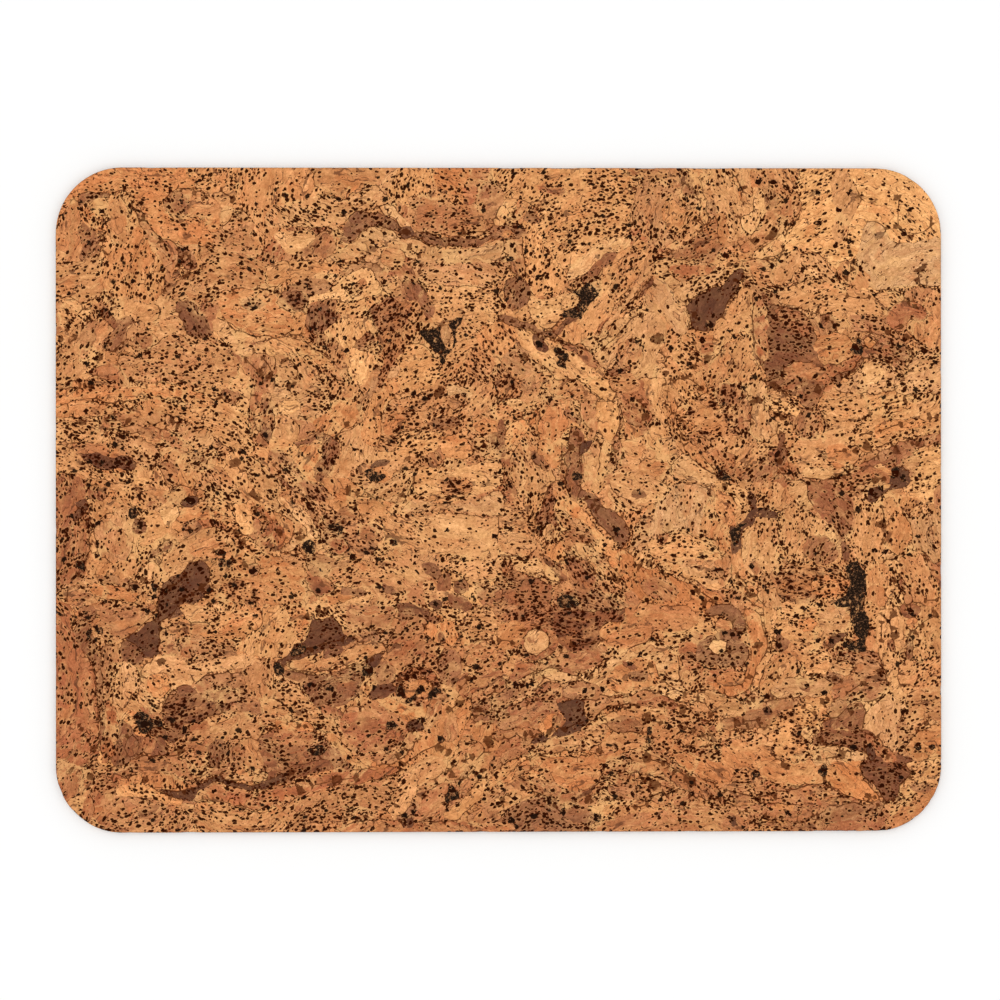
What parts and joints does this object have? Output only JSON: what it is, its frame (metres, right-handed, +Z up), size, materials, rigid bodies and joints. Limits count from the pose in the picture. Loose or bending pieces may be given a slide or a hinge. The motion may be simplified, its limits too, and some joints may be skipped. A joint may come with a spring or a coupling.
{
  "type": "desk mat",
  "caption": "Thin rounded-rectangle cork desk mat: a marbled bark face laminated to a granulated cork core with a non-slip backing.",
  "frame": {"origin": "centre of the mat's underside, on the desk", "axes": "+X along the long side, +Y along the short side towards the far edge, +Z up out of the working surface"},
  "size_m": [0.4, 0.3, 0.004],
  "materials": {
    "marbled_cork": "marbled natural cork bark sheet, sanded and sealed with a thin matt lacquer",
    "granulated_cork": "raw agglomerated cork granules, matt",
    "adhesive": "thin cured contact adhesive, satin",
    "cork_rubber": "fine cork crumb in dark rubber, matt and non-slip"
  },
  "bodies": {
    "root": {"face_sheet": "marbled_cork", "upper_adhesive_film": "adhesive", "core_sheet": "granulated_cork", "lower_adhesive_film": "adhesive", "backing_sheet": "cork_rubber"}
  },
  "joints": []
}
